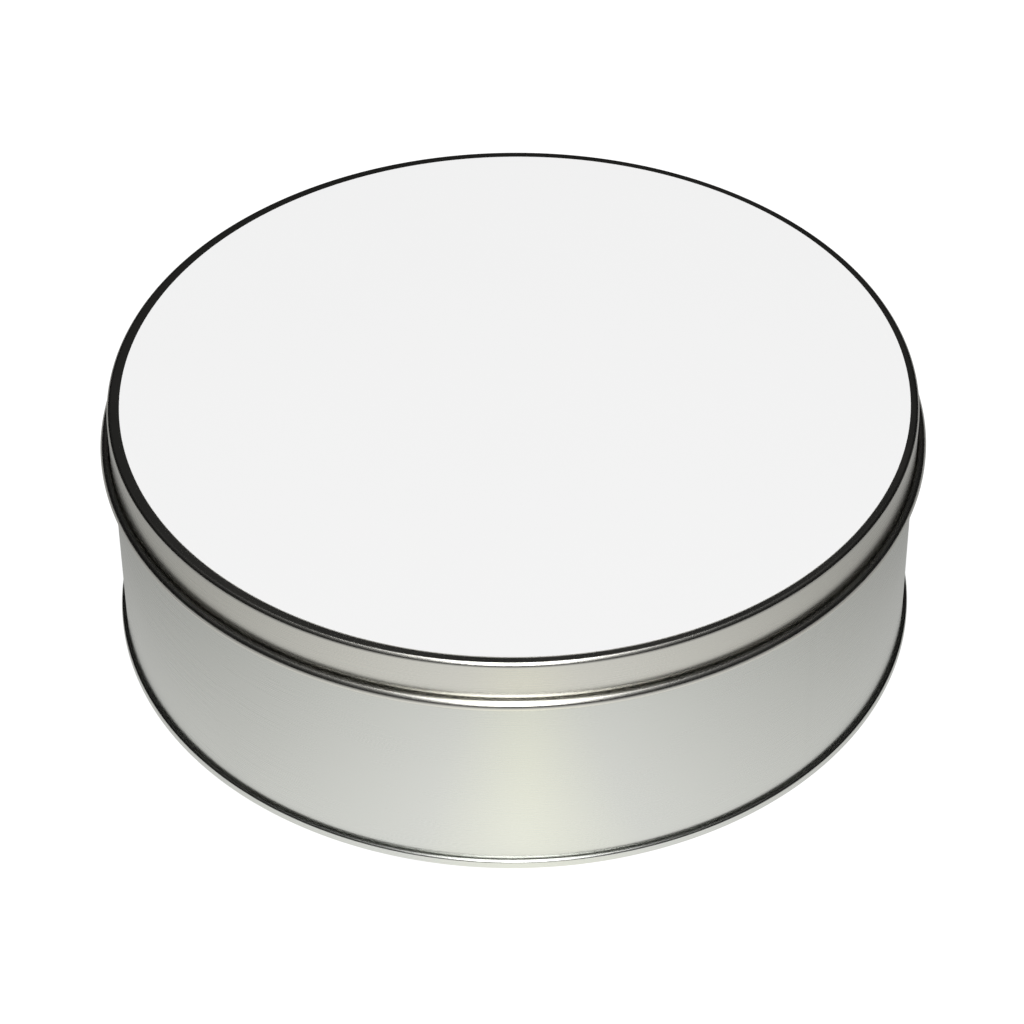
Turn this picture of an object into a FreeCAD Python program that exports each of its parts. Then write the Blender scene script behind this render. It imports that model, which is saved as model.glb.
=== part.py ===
import FreeCAD, Part
import math
import os

# A shut round tin box of tinplate: a straight-walled body, a bottom end seamed on to it,
# a slip lid with a rolled edge, and a white disc that covers the top of the lid.
# Millimetres, +Z up, origin at the centre of the foot, on the surface the tin stands on.
# The tin is shut and cannot be seen into, so the body is solid.

# ---- Driving dimensions ----

# Body
WALL_D = 189.9          # outside diameter of the straight wall
TIN_H = 62.7            # from the foot to the bare metal top of the lid
SHEET_T = 0.25          # thickness of the tinplate, everywhere

# Slip lid
LID_DEPTH = 12.47       # from the lid's metal top to the underside of its rolled edge
FIT_GAP = 0.08          # clearance between the lid's skirt and the wall
SHOULDER_R = 1.0        # outside radius where the lid's top turns down into its skirt
CURL_R = 1.235          # outside radius of the rolled edge's section
CURL_GAP = 0.35         # slot on top of the rolled edge, between its cut end and the skirt

# Bottom end
SEAM_H = 2.35           # height of the seam ring round the foot
SEAM_PROUD = 1.14       # how far the seam stands out from the wall
SEAM_T = 1.45           # thickness of the seam, measured along a radius
SEAM_TOP_R = 0.6        # rounding of the seam's upper outside edge
SEAM_LIP_R = 0.35       # rounding of the seam's upper inside edge, beside the wall
SEAM_FOOT_R = 0.65      # rounding of the seam's lower outside edge
SEAM_INNER_R = 0.4      # rounding of the seam's lower inside edge
LIP_H = 0.6             # how far the seam's lip stands above the end panel, round the wall
LIP_GAP = 0.15          # groove between that lip and the wall
PANEL_FILLET_R = 0.6    # hollow radius where the end panel meets the inside of the seam

# White disc on the lid
LABEL_T = 0.15          # thickness of the disc
LABEL_MARGIN = 1.53     # mean width of the bare flat metal between the disc and the shoulder
LABEL_OFF_X = 0.42      # the disc is laid on by hand, so its centre lies a little off the axis
LABEL_OFF_Y = -0.1

# ---- Derived places: r is a distance from the tin's axis, z a height ----

WALL_R = WALL_D / 2
LID_UNDER_Z = TIN_H - SHEET_T
SKIRT_R = WALL_R + FIT_GAP + SHEET_T
FLAT_TOP_R = SKIRT_R - SHOULDER_R
LABEL_R = FLAT_TOP_R - LABEL_MARGIN
CURL_AXIS_R = SKIRT_R - SHEET_T + CURL_R
CURL_AXIS_Z = TIN_H - LID_DEPTH + CURL_R
CURL_END = math.degrees(math.acos((SKIRT_R + CURL_GAP - CURL_AXIS_R) / CURL_R))
SEAM_R = WALL_R + SEAM_PROUD
PANEL_TOP_Z = SEAM_H - LIP_H


def point(r, z):
    """A point of a half section, in the XZ plane."""
    return FreeCAD.Vector(r, 0, z)


def on_circle(centre, radius, degrees):
    """The (r, z) point of a section circle at an angle measured up from outwards."""
    angle = math.radians(degrees)
    return (centre[0] + radius * math.cos(angle), centre[1] + radius * math.sin(angle))


class Section:
    """A half section drawn as one closed outline of straight runs and arcs."""

    def __init__(self, r, z):
        self.start = (r, z)
        self.here = (r, z)
        self.edges = []

    def line_to(self, r, z):
        self.edges.append(Part.LineSegment(point(*self.here), point(r, z)).toShape())
        self.here = (r, z)
        return self

    def arc(self, centre, radius, start, end):
        """Arc about centre from one angle to another, in degrees; it starts where the outline is."""
        middle = on_circle(centre, radius, (start + end) / 2)
        last = on_circle(centre, radius, end)
        self.edges.append(Part.Arc(point(*self.here), point(*middle), point(*last)).toShape())
        self.here = last
        return self

    def revolved(self):
        self.line_to(*self.start)
        face = Part.Face(Part.Wire(self.edges))
        solid = face.revolve(FreeCAD.Vector(0, 0, 0), FreeCAD.Vector(0, 0, 1), 360)
        if solid.Volume < 0:
            solid.reverse()
        return solid


def tin_body():
    """The shut body: its wall stands on the end panel, its rolled rim carries the lid."""
    rim_r = SHOULDER_R - SHEET_T
    rim_axis = (WALL_R - rim_r, LID_UNDER_Z - rim_r)
    section = Section(0, PANEL_TOP_Z)
    section.line_to(WALL_R, PANEL_TOP_Z)
    section.line_to(WALL_R, rim_axis[1])
    section.arc(rim_axis, rim_r, 0, 90)
    section.line_to(0, LID_UNDER_Z)
    return section.revolved()


def lid():
    """One drawn sheet: flat top, shoulder, skirt and the edge rolled outwards and up."""
    shoulder_axis = (FLAT_TOP_R, TIN_H - SHOULDER_R)
    curl_axis = (CURL_AXIS_R, CURL_AXIS_Z)

    section = Section(0, LID_UNDER_Z)
    # inside of the sheet, from the middle of the top, round the roll to its cut end
    section.line_to(FLAT_TOP_R, LID_UNDER_Z)
    section.arc(shoulder_axis, SHOULDER_R - SHEET_T, 90, 0)
    section.line_to(SKIRT_R - SHEET_T, CURL_AXIS_Z)
    section.arc(curl_axis, CURL_R, -180, CURL_END)
    # across the cut end, round the hollow of the roll and back up the outside
    section.line_to(*on_circle(curl_axis, CURL_R - SHEET_T, CURL_END))
    section.arc(curl_axis, CURL_R - SHEET_T, CURL_END, -180)
    section.line_to(SKIRT_R, TIN_H - SHOULDER_R)
    section.arc(shoulder_axis, SHOULDER_R, 0, 90)
    section.line_to(0, TIN_H)
    return section.revolved()


def lid_label():
    """The white disc, lying on the lid's flat top, a little off its centre."""
    return Part.makeCylinder(LABEL_R, LABEL_T, FreeCAD.Vector(LABEL_OFF_X, LABEL_OFF_Y, TIN_H))


def base_end():
    """The bottom end: a seam ring that the tin stands on, and the panel recessed inside it."""
    seam_inner_r = SEAM_R - SEAM_T
    panel_under_z = PANEL_TOP_Z - SHEET_T
    fillet_axis = (seam_inner_r - PANEL_FILLET_R, panel_under_z - PANEL_FILLET_R)
    inner_axis = (seam_inner_r + SEAM_INNER_R, SEAM_INNER_R)
    foot_axis = (SEAM_R - SEAM_FOOT_R, SEAM_FOOT_R)
    top_axis = (SEAM_R - SEAM_TOP_R, SEAM_H - SEAM_TOP_R)
    lip_axis = (WALL_R + LIP_GAP + SEAM_LIP_R, SEAM_H - SEAM_LIP_R)

    section = Section(0, panel_under_z)
    section.line_to(fillet_axis[0], panel_under_z)
    section.arc(fillet_axis, PANEL_FILLET_R, 90, 0)
    section.line_to(seam_inner_r, SEAM_INNER_R)
    section.arc(inner_axis, SEAM_INNER_R, 180, 270)
    section.line_to(foot_axis[0], 0)
    section.arc(foot_axis, SEAM_FOOT_R, 270, 360)
    section.line_to(SEAM_R, top_axis[1])
    section.arc(top_axis, SEAM_TOP_R, 0, 90)
    section.line_to(lip_axis[0], SEAM_H)
    section.arc(lip_axis, SEAM_LIP_R, 90, 180)
    section.line_to(WALL_R + LIP_GAP, PANEL_TOP_Z)
    section.line_to(0, PANEL_TOP_Z)
    return section.revolved()


os.makedirs("parts", exist_ok=True)
for make in (tin_body, lid, lid_label, base_end):
    solid = make()
    solid.exportStep("parts/" + make.__name__ + ".step")
    box = solid.optimalBoundingBox(False)
    print("%-10s volume %.3f cm3, z %.2f to %.2f mm, diameter %.2f mm, valid %s"
          % (make.__name__, solid.Volume / 1000, box.ZMin, box.ZMax, box.XLength, solid.isValid()))
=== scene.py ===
# %% [markdown]
# # A round tin box
#
# A low round tin of bright tinplate, shut. It has a body with a straight wall, a bottom end seamed
# on at the foot, a slip lid whose edge is rolled outwards and up, and a white disc that covers the
# lid's top. Every piece is turned, so each one is drawn as half a section and spun about Z.
#
# The pieces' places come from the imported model: the size of each piece is read from its box, and
# only the small sizes that a box can't show, such as a rounding, are written here. Lengths are in
# metres.

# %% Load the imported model
import math

import bmesh
import bpy
from mathutils import Matrix, Vector


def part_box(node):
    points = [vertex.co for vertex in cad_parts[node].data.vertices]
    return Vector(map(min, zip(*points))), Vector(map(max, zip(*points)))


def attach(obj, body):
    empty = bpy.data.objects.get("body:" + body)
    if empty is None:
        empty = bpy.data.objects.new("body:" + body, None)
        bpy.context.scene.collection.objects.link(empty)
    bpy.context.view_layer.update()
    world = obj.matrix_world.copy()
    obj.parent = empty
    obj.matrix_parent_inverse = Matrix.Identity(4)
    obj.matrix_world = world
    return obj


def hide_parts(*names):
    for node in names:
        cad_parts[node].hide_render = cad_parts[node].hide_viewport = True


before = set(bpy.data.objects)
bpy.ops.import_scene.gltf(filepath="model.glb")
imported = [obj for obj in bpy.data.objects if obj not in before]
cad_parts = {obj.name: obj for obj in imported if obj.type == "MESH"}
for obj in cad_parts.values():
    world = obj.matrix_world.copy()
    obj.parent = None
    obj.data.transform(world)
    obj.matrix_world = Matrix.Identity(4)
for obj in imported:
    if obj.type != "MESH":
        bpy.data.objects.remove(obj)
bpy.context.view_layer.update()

# %% [markdown]
# ## Sizes
#
# Four boxes give the main sizes: the wall's radius, the rolled edge's, the foot's and the disc's,
# with their heights. The disc was laid on by hand, a little off the middle of the lid, and its box
# gives that too. The small sizes below repeat what the construction uses. Where one follows from
# others it is worked out, so that the pieces still fit together if the model changes.

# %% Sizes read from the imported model
MM = 0.001
wall_low, wall_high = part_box("tin_body")
lid_low, lid_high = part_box("lid")
disc_low, disc_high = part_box("lid_label")
end_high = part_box("base_end")[1]

WALL_R = wall_high[0]
LID_TOP_Z = lid_high[2]
LID_UNDER_Z = wall_high[2]
EDGE_R = lid_high[0]
DISC_R = (disc_high[0] - disc_low[0]) / 2
DISC_AXIS = ((disc_high[0] + disc_low[0]) / 2, (disc_high[1] + disc_low[1]) / 2, 0)
SEAM_R = end_high[0]
SEAM_TOP_Z = end_high[2]
PANEL_TOP_Z = wall_low[2]
print("wall radius %.2f mm, rolled edge %.2f mm, seam %.2f mm, disc %.2f mm"
      % (WALL_R / MM, EDGE_R / MM, SEAM_R / MM, DISC_R / MM))
print("the disc lies %.2f mm to the right and %.2f mm to the front"
      % (DISC_AXIS[0] / MM, -DISC_AXIS[1] / MM))

# %% Small sizes
SHEET = LID_TOP_Z - LID_UNDER_Z     # thickness of the tinplate
FIT_GAP = 0.08 * MM                 # between the lid's skirt and the wall
SHOULDER_R = 1.0 * MM               # where the lid's top turns down
CURL_GAP = 0.35 * MM                # slot between the roll's cut end and the skirt
SEAM_TOP_R = 0.6 * MM               # roundings of the foot's seam
SEAM_LIP_R = 0.35 * MM
SEAM_FOOT_R = 0.65 * MM
SEAM_INNER_R = 0.4 * MM
SEAM_WIDTH = 1.45 * MM
LIP_GAP = 0.15 * MM                 # groove between the seam's lip and the wall
PANEL_FILLET_R = 0.6 * MM
DISC_ROUND = 0.05 * MM              # the disc's cut edge

SKIRT_R = WALL_R + FIT_GAP + SHEET
CURL_R = (EDGE_R - SKIRT_R + SHEET) / 2
CURL_AXIS = (EDGE_R - CURL_R, lid_low[2] + CURL_R)
CURL_END = math.degrees(math.acos((SKIRT_R + CURL_GAP - CURL_AXIS[0]) / CURL_R))
SHOULDER_AXIS = (SKIRT_R - SHOULDER_R, LID_TOP_Z - SHOULDER_R)
print("sheet %.2f mm, roll radius %.3f mm, cut end at %.0f degrees"
      % (SHEET / MM, CURL_R / MM, CURL_END))

# %% [markdown]
# ## A camera
#
# The tin is seen from the front and above, with a long lens, so the lid's ellipse is hardly
# narrower at the back than at the front. A long lens far away and a short one close by can frame
# the same thing, and only the long one keeps the sides of the wall nearly upright. The camera is
# held by hand, so it leans by half a degree.

# %% The camera
ELEVATION = math.radians(40.887)
DISTANCE = 0.9148
LENS_MM = 133.07
ROLL = math.radians(-0.475)
aim = Vector((-0.43 * MM, 0, 23.93 * MM))

camera_data = bpy.data.cameras.new("camera")
camera_data.lens = LENS_MM
camera = bpy.data.objects.new("camera", camera_data)
toward_camera = Vector((0, -math.cos(ELEVATION), math.sin(ELEVATION)))
tilt = Matrix.Rotation(math.pi / 2 - ELEVATION, 4, "X") @ Matrix.Rotation(ROLL, 4, "Z")
camera.matrix_world = Matrix.Translation(aim + toward_camera * DISTANCE) @ tilt
bpy.context.scene.collection.objects.link(camera)
bpy.context.scene.camera = camera
bpy.context.scene.view_settings.view_transform = "Standard"
print("camera at", camera.matrix_world.translation)

# %% [markdown]
# ## A lathe
#
# A pen draws half a section in the XZ plane. A straight run is an extruded vertex, and an arc is a
# vertex spun about the arc's centre. Then the whole outline is spun once about Z. Points on the
# axis are merged into poles, and normals are recalculated after that.
#
# Polished metal shows every fault in its shading. A flat run that ends at a rounding gets one more
# vertex just short of the rounding, because smooth shading would otherwise bend the whole flat.

# %% The lathe
TURNS = 320             # steps round the tin
HOLD = 0.06 * MM        # how far a holding edge lies from a rounding
DEGREES_PER_STEP = 9    # along the arcs of a section
WELD = 0.001 * MM       # points closer than this are one


class Outline:
    """Half a section in the XZ plane, drawn by moving the tip of a pen."""

    def __init__(self, r, z):
        self.mesh = bmesh.new()
        self.tip = self.mesh.verts.new((r, 0, z))

    def line(self, r, z, hold=True):
        """A straight run, with a holding vertex near each end if there is room."""
        start = self.tip.co.copy()
        end = Vector((r, 0, z))
        length = (end - start).length
        stops = [1.0]
        if hold and length > 3 * HOLD:
            stops = [HOLD / length, 1 - HOLD / length, 1.0]
        for share in stops:
            made = bmesh.ops.extrude_vert_indiv(self.mesh, verts=[self.tip])
            self.tip = made["verts"][0]
            self.tip.co = start.lerp(end, share)

    def arc(self, centre, degrees):
        """An arc about centre from where the tip is. Positive turns from +Z towards +X."""
        steps = max(2, round(abs(degrees) / DEGREES_PER_STEP))
        made = bmesh.ops.spin(
            self.mesh, geom=[self.tip], cent=(centre[0], 0, centre[1]), axis=(0, 1, 0),
            angle=math.radians(degrees), steps=steps,
        )
        self.tip = [part for part in made["geom_last"] if isinstance(part, bmesh.types.BMVert)][0]

    def turned(self, name, axis=(0, 0, 0)):
        """Spins the outline once, moves it on to its upright axis and makes it an object."""
        outline = self.mesh.verts[:] + self.mesh.edges[:]
        bmesh.ops.spin(
            self.mesh, geom=outline, cent=(0, 0, 0), axis=(0, 0, 1),
            angle=math.tau, steps=TURNS, use_merge=True,
        )
        bmesh.ops.translate(self.mesh, verts=self.mesh.verts, vec=axis)
        bmesh.ops.remove_doubles(self.mesh, verts=self.mesh.verts, dist=WELD)
        bmesh.ops.recalc_face_normals(self.mesh, faces=self.mesh.faces)
        for face in self.mesh.faces:
            face.smooth = True
        return linked_object(name, self.mesh)


def linked_object(name, mesh):
    data = bpy.data.meshes.new(name)
    mesh.to_mesh(data)
    mesh.free()
    piece = bpy.data.objects.new(name, data)
    bpy.context.scene.collection.objects.link(piece)
    print("%s: %d faces" % (name, len(data.polygons)))
    return piece


# %% [markdown]
# ## The body
#
# The wall is straight from the foot to the lid. Under the lid its rim is rolled in, by the same
# amount as the inside of the lid's shoulder, and the lid's top lies on it. The tin is shut, so the
# body is drawn as one closed shape, with the tin's top and bottom joined through the axis.

# %% The body
RIM_R = SHOULDER_R - SHEET

body = Outline(0, PANEL_TOP_Z)
body.line(WALL_R, PANEL_TOP_Z)
body.line(WALL_R, LID_UNDER_Z - RIM_R)
body.arc((WALL_R - RIM_R, LID_UNDER_Z - RIM_R), -90)
body.line(0, LID_UNDER_Z)
tin_wall = body.turned("tin_wall")

# %% [markdown]
# ## The lid
#
# One drawn sheet: a flat top, a tight shoulder, a straight skirt, and an edge rolled outwards and
# up so that no sharp edge is left to touch. The cut end stops just short of the skirt. That leaves
# a fine dark slot along the top of the roll, which a plain ring could not show, so the roll is
# made hollow here. The pen goes down the outside of the sheet and round the hollow of the roll,
# across the cut end, and back round the outside of the roll and up the inside of the skirt.

# %% The lid
ROLLED = 180 + CURL_END     # degrees from the skirt round to the cut end
cut_end = (
    CURL_AXIS[0] + CURL_R * math.cos(math.radians(CURL_END)),
    CURL_AXIS[1] + CURL_R * math.sin(math.radians(CURL_END)),
)

sheet = Outline(0, LID_TOP_Z)
sheet.line(SHOULDER_AXIS[0], LID_TOP_Z)
sheet.arc(SHOULDER_AXIS, 90)
sheet.line(SKIRT_R, CURL_AXIS[1])
sheet.arc(CURL_AXIS, -ROLLED)
sheet.line(*cut_end)
sheet.arc(CURL_AXIS, ROLLED)
sheet.line(SKIRT_R - SHEET, SHOULDER_AXIS[1])
sheet.arc(SHOULDER_AXIS, -90)
sheet.line(0, LID_UNDER_Z)
tin_lid = sheet.turned("tin_lid")

# %% [markdown]
# ## The bottom end
#
# The end is folded together with the wall into a ring that stands out at the foot. The tin stands
# on that ring, and the panel inside it is recessed, so that it never scrapes the shelf. The real
# fold has five layers of sheet. Only their outer shape shows, so the ring is drawn as one.

# %% The bottom end
SEAM_INNER = SEAM_R - SEAM_WIDTH
PANEL_UNDER_Z = PANEL_TOP_Z - SHEET

foot = Outline(0, PANEL_UNDER_Z)
foot.line(SEAM_INNER - PANEL_FILLET_R, PANEL_UNDER_Z)
foot.arc((SEAM_INNER - PANEL_FILLET_R, PANEL_UNDER_Z - PANEL_FILLET_R), 90)
foot.line(SEAM_INNER, SEAM_INNER_R)
foot.arc((SEAM_INNER + SEAM_INNER_R, SEAM_INNER_R), -90)
foot.line(SEAM_R - SEAM_FOOT_R, 0)
foot.arc((SEAM_R - SEAM_FOOT_R, SEAM_FOOT_R), -90)
foot.line(SEAM_R, SEAM_TOP_Z - SEAM_TOP_R)
foot.arc((SEAM_R - SEAM_TOP_R, SEAM_TOP_Z - SEAM_TOP_R), -90)
foot.line(WALL_R + LIP_GAP + SEAM_LIP_R, SEAM_TOP_Z, hold=False)
foot.arc((WALL_R + LIP_GAP + SEAM_LIP_R, SEAM_TOP_Z - SEAM_LIP_R), -90)
foot.line(WALL_R + LIP_GAP, PANEL_TOP_Z)
foot.line(0, PANEL_TOP_Z)
foot_end = foot.turned("foot_end")

# %% [markdown]
# ## The white disc
#
# It lies flat on the lid and leaves a narrow ring of bare metal, wider on one side than on the
# other. Its cut edge is hardly rounded. It is drawn about Z like the rest, and moved to its own
# axis once it has been spun, so that the pen never has to think about the offset.

# %% The disc
card = Outline(0, disc_high[2])
card.line(DISC_R - DISC_ROUND, disc_high[2])
card.arc((DISC_R - DISC_ROUND, disc_high[2] - DISC_ROUND), 90)
card.line(DISC_R, disc_low[2])
card.line(0, disc_low[2])
lid_disc = card.turned("lid_disc", DISC_AXIS)

# %% [markdown]
# ## Writing materials
#
# Shader maths is easier to read as maths. A small class wraps a node's output and turns +, - and *
# into Math nodes, and one method makes every other node from its type, its settings and what its
# sockets get. Most sockets go by name. Where a node has several of one name, the number of the
# socket says which, and the mixing of two colours has a short method of its own for that reason.

# %% Writing materials
OBJECT_PLACE = 3        # outputs of the Texture Coordinate node
CAMERA_RAY = 0          # and of the Light Path node
GLOSSY_RAY = 3


class Signal:
    """A number coming out of a node, with + - * written as Python."""

    def __init__(self, finish, socket):
        self.finish = finish
        self.socket = socket

    def _with(self, operation, first, second):
        return self.finish.node("Math", {"operation": operation}, {0: first, 1: second})[0]

    def __add__(self, other):
        return self._with("ADD", self, other)

    def __radd__(self, other):
        return self._with("ADD", other, self)

    def __sub__(self, other):
        return self._with("SUBTRACT", self, other)

    def __rsub__(self, other):
        return self._with("SUBTRACT", other, self)

    def __mul__(self, other):
        return self._with("MULTIPLY", self, other)

    def __rmul__(self, other):
        return self._with("MULTIPLY", other, self)


class Finish:
    """A material, or the world, being put together from nodes."""

    def __init__(self, owner):
        owner.use_nodes = True
        self.tree = owner.node_tree
        self.tree.nodes.clear()

    def node(self, kind, settings=None, sockets=None):
        """Makes a node and returns its outputs as Signals, in a list."""
        made = self.tree.nodes.new("ShaderNode" + kind)
        for name, value in (settings or {}).items():
            if name == "stops":
                self.set_stops(made.color_ramp, value)
            else:
                setattr(made, name, value)
        for name, value in (sockets or {}).items():
            if isinstance(value, Signal):
                self.tree.links.new(value.socket, made.inputs[name])
            else:
                made.inputs[name].default_value = value
        return [Signal(self, socket) for socket in made.outputs]

    def set_stops(self, ramp, stops):
        while len(ramp.elements) < len(stops):
            ramp.elements.new(1.0)
        for element, (position, colour) in zip(ramp.elements, stops):
            element.position = position
            element.color = colour

    def colours(self, share, first, second, blend="MIX"):
        """Blends two colours: all of the first at share 0."""
        settings = {"data_type": "RGBA", "blend_type": blend}
        return self.node("Mix", settings, {0: share, 6: first, 7: second})[2]


def grey(level):
    """An opaque grey, from 0 to 1."""
    return (level, level, level, 1)


def new_finish(name):
    material = bpy.data.materials.new(name)
    return material, Finish(material)


# %% [markdown]
# ## Tinplate
#
# Tinplate is steel sheet with a thin bright coat of tin. It was rolled, so it carries a grain of
# very fine lines along the strip. It is not a mirror: reflections are soft, and a little softer
# where it has been handled. The grain is noise that is stretched along the strip. On the wall the
# strip runs round the tin, so the noise is squeezed in Z only, and needs no seam.

# %% Tinplate
BRIGHT_TIN = (0.72, 0.73, 0.7)
LID_TIN = (0.75, 0.74, 0.69)    # the lid's sheet is a little warmer
TIN_ROUGHNESS = 0.27
TONE_SPREAD = 0.015             # how far the colour wanders to each side
GRAIN_ROUGHNESS = 0.05
RELIEF = 0.02 * MM              # height of the grain and of the card's tooth

# How many features a metre holds in X, Y and Z
GRAIN = (45, 45, 5200)
HANDLING = (38, 38, 52)
TONE = (9, 9, 14)


def tinplate(name, colour, grain_bump, wear):
    """Bright tinplate. wear is how much the roughness wanders."""
    material, finish = new_finish(name)
    place = finish.node("TexCoord")[OBJECT_PLACE]

    def noise(scales, detail):
        stretched = finish.node("VectorMath", {"operation": "MULTIPLY"}, {0: place, 1: scales})[0]
        sockets = {"Vector": stretched, "Scale": 1.0, "Detail": detail, "Roughness": 0.5}
        return finish.node("TexNoise", {}, sockets)[0]

    grain = noise(GRAIN, 3)
    handling = noise(HANDLING, 4)
    darker = [channel * (1 - TONE_SPREAD) for channel in colour] + [1]
    lighter = [channel * (1 + TONE_SPREAD) for channel in colour] + [1]
    shade = finish.colours(noise(TONE, 2), darker, lighter)

    rough = TIN_ROUGHNESS + wear * (handling - 0.5) + GRAIN_ROUGHNESS * (grain - 0.5)
    bump = finish.node("Bump", {}, {"Strength": grain_bump, "Distance": RELIEF, "Height": grain})[0]
    surface = finish.node(
        "BsdfPrincipled", {},
        {"Base Color": shade, "Metallic": 1.0, "Roughness": rough, "Normal": bump},
    )[0]
    finish.node("OutputMaterial", {}, {"Surface": surface})
    print(name, "of colour", colour)
    return material


wall_metal = tinplate("wall_tinplate", BRIGHT_TIN, grain_bump=0.1, wear=0.05)
lid_metal = tinplate("lid_tinplate", LID_TIN, grain_bump=0.08, wear=0.04)
end_metal = tinplate("end_tinplate", BRIGHT_TIN, grain_bump=0.08, wear=0.04)

# %% [markdown]
# ## White card
#
# The disc is a smooth matte white, a little short of pure white so that light still shapes it,
# with the fine tooth of coated card. The tooth is only noise on the roughness and a slight bump.

# %% White card
CARD_DARK = 0.883
CARD_LIGHT = 0.893
CARD_ROUGHNESS = 0.62
TOOTH = 2600.0                  # features per metre
CLOUD = 18.0


def white_card():
    material, finish = new_finish("white_card")
    place = finish.node("TexCoord")[OBJECT_PLACE]
    tooth = finish.node("TexNoise", {}, {"Vector": place, "Scale": TOOTH, "Detail": 3.0})[0]
    cloud = finish.node("TexNoise", {}, {"Vector": place, "Scale": CLOUD, "Detail": 2.0})[0]
    shade = finish.colours(cloud, grey(CARD_DARK), grey(CARD_LIGHT))
    rough = CARD_ROUGHNESS + 0.06 * (tooth - 0.5)
    bump = finish.node("Bump", {}, {"Strength": 0.12, "Distance": RELIEF, "Height": tooth})[0]
    surface = finish.node(
        "BsdfPrincipled", {},
        {"Base Color": shade, "Roughness": rough, "Specular IOR Level": 0.3, "Normal": bump},
    )[0]
    finish.node("OutputMaterial", {}, {"Surface": surface})
    print("white card between", CARD_DARK, "and", CARD_LIGHT)
    return material


card_white = white_card()

# %% [markdown]
# ## Joining the pieces to the model
#
# Each turned piece stands for one node of the imported model, rides on its only body, and gets its
# material.

# %% Pieces, nodes, slots
for piece, node, slot, material in (
    (tin_wall, "tin_body", "wall_tinplate", wall_metal),
    (tin_lid, "lid", "lid_tinplate", lid_metal),
    (foot_end, "base_end", "end_tinplate", end_metal),
    (lid_disc, "lid_label", "white_disc", card_white),
):
    piece.data.materials.append(material)
    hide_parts(node)
    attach(piece, "root")
    print(piece.name, "stands for", node)

# %% [markdown]
# ## The floor
#
# Bright metal shows what is round it, so the surroundings are most of the work. The tin stands on
# a white table. The wall looks down at the table and turns pale. In front of the tin the lamp
# makes a pool of light on it, with a narrow warm streak, and the wall's front is brightest there.
#
# A lamp strong enough to draw that pool would burn out the white disc, so the pool is painted
# instead, as a glow that only reflections see. The camera sees a plain white table that still
# takes the tin's shadow, and everything else sees ordinary white paint.

# %% The floor
FLOOR_SIZE = 12.0
floor_mesh = bmesh.new()
bmesh.ops.create_grid(floor_mesh, x_segments=1, y_segments=1, size=FLOOR_SIZE / 2)
floor = linked_object("floor", floor_mesh)

floor_material, finish = new_finish("white_table")
rays = finish.node("LightPath")
place = finish.node("TexCoord")[OBJECT_PLACE]

# %% The glow that reflections see
TABLE_AWAY = grey(0.4)                  # away from the tin
TABLE_NEAR = (0.4, 0.4, 0.39, 1)        # where the pool begins
TABLE_POOL = (1.07, 1.07, 1.05, 1)      # the middle of the pool
STREAK = (0.12, 0.12, 0.02, 1)          # added on top of the pool


def pool_of_light(centre, reach_x, reach_y):
    """1 at the centre, falling evenly to 0 at the given distances along X and Y."""
    scale = (1 / reach_x, 1 / reach_y, 1)
    shift = [-scale[axis] * centre[axis] for axis in range(3)]
    sockets = {"Vector": place, "Location": shift, "Scale": scale}
    centred = finish.node("Mapping", {}, sockets)[0]
    return finish.node("TexGradient", {"gradient_type": "SPHERICAL"}, {"Vector": centred})[1]


pool = pool_of_light((0, -0.105, 0), 0.2, 0.2)
streak = pool_of_light((0.004, -0.125, 0), 0.03, 0.09)
stops = [(0.0, TABLE_AWAY), (0.15, TABLE_NEAR), (1.0, TABLE_POOL)]
sheen = finish.node("ValToRGB", {"stops": stops}, {"Fac": pool})[0]
lit = finish.colours(streak, sheen, STREAK, blend="ADD")
glow = finish.node("Emission", {}, {"Color": lit, "Strength": 1.0})[0]
print("the glow runs from", TABLE_AWAY, "to", TABLE_POOL)

# %% The table itself
PAINT = 0.8             # white paint, as other surfaces see it
SHADOW_DEPTH = 0.3      # share of the camera's white that the tin's shadow can take away
BASE_WHITE = 0.85       # share that is always there

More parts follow.
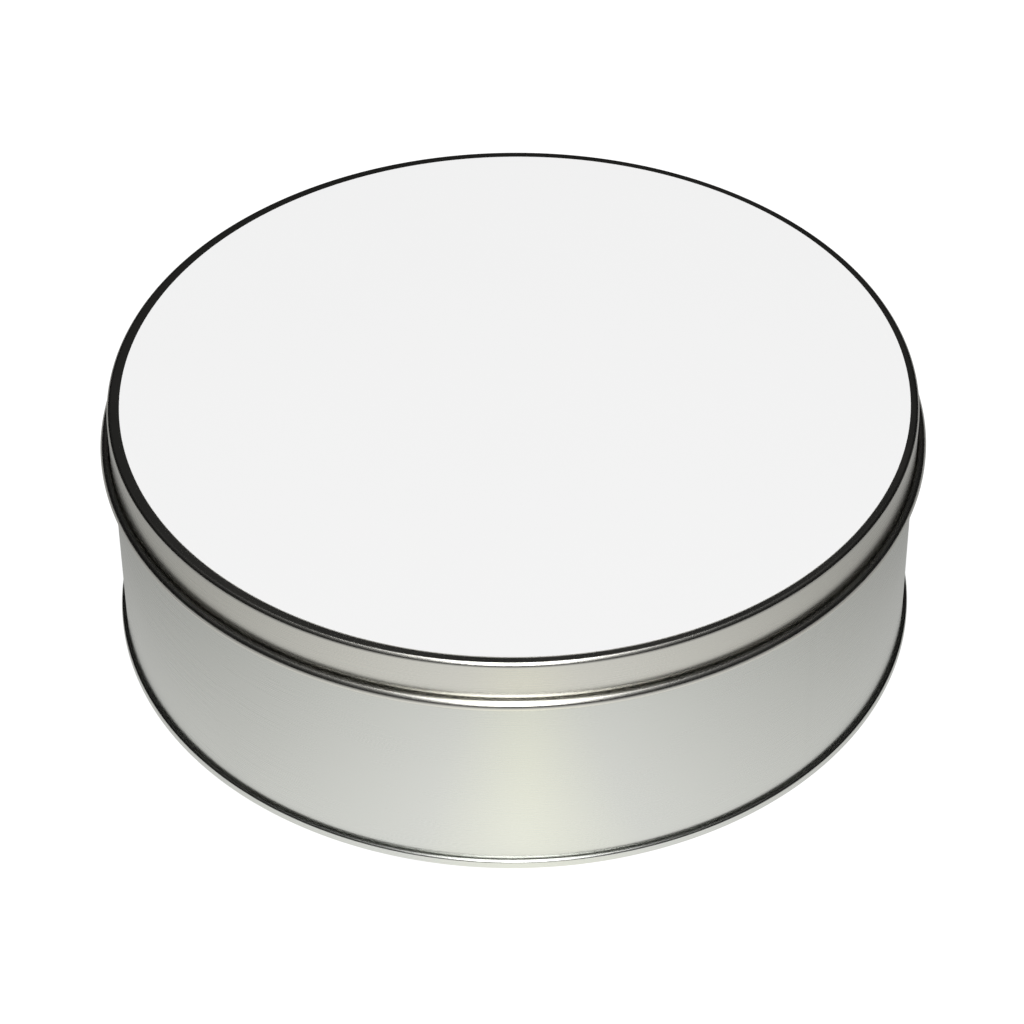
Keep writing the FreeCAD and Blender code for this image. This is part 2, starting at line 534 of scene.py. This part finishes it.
plain = finish.node("BsdfDiffuse", {}, {"Color": grey(PAINT)})[0]
shadow = finish.node("BsdfDiffuse", {}, {"Color": grey(SHADOW_DEPTH)})[0]
white = finish.node("Emission", {}, {"Strength": BASE_WHITE})[0]
seen = finish.node("AddShader", {}, {0: shadow, 1: white})[0]
either = finish.node("MixShader", {}, {0: rays[CAMERA_RAY], 1: plain, 2: seen})[0]
mirrored = finish.node("MixShader", {}, {0: rays[GLOSSY_RAY], 1: either, 2: glow})[0]
finish.node("OutputMaterial", {}, {"Surface": mirrored})
floor.data.materials.append(floor_material)
print("floor of %.0f m" % FLOOR_SIZE)

# %% [markdown]
# ## The room and the lamp
#
# The lid's shoulder and the rolled edge look up, at the room. In a white room they would vanish,
# so reflections see a nearly black one, and the roundings are drawn as dark lines with one bright
# band where they catch the lamp. The matte disc needs an even light instead, and gets it from a
# grey fill that reflections don't see. Behind everything the camera sees white.
#
# The lamp is one large soft box high over the front. A large lamp far away lights the disc evenly,
# and its length towards the front and back draws out the band on the shoulder.

# %% The room
FILL = 0.51
DARK_ROOM = 0.002

world = bpy.data.worlds.new("room")
bpy.context.scene.world = world
finish = Finish(world)
rays = finish.node("LightPath")
fill = finish.colours(rays[GLOSSY_RAY], grey(FILL), grey(DARK_ROOM))
tone = finish.colours(rays[CAMERA_RAY], fill, grey(1))
back = finish.node("Background", {}, {"Color": tone, "Strength": 1.0})[0]
finish.node("OutputWorld", {}, {"Surface": back})
print("room: fill", FILL, "and", DARK_ROOM, "in reflections")

# %% The lamp
LAMP_PLACE = Vector((0, -1.42, 3.25))
LAMP_TARGET = Vector((0, 0, 0.05))
LAMP_WIDTH = 1.22
LAMP_LENGTH = 5.7
LAMP_RADIANCE = 4.4

lamp_data = bpy.data.lights.new("overhead", "AREA")
lamp_data.shape = "RECTANGLE"
lamp_data.size = LAMP_WIDTH
lamp_data.size_y = LAMP_LENGTH
lamp_data.energy = LAMP_RADIANCE * math.pi * LAMP_WIDTH * LAMP_LENGTH
lamp = bpy.data.objects.new("overhead", lamp_data)
facing = (LAMP_PLACE - LAMP_TARGET).to_track_quat("Z", "Y").to_matrix().to_4x4()
lamp.matrix_world = Matrix.Translation(LAMP_PLACE) @ facing
bpy.context.scene.collection.objects.link(lamp)
print("lamp energy %.1f W" % lamp_data.energy)
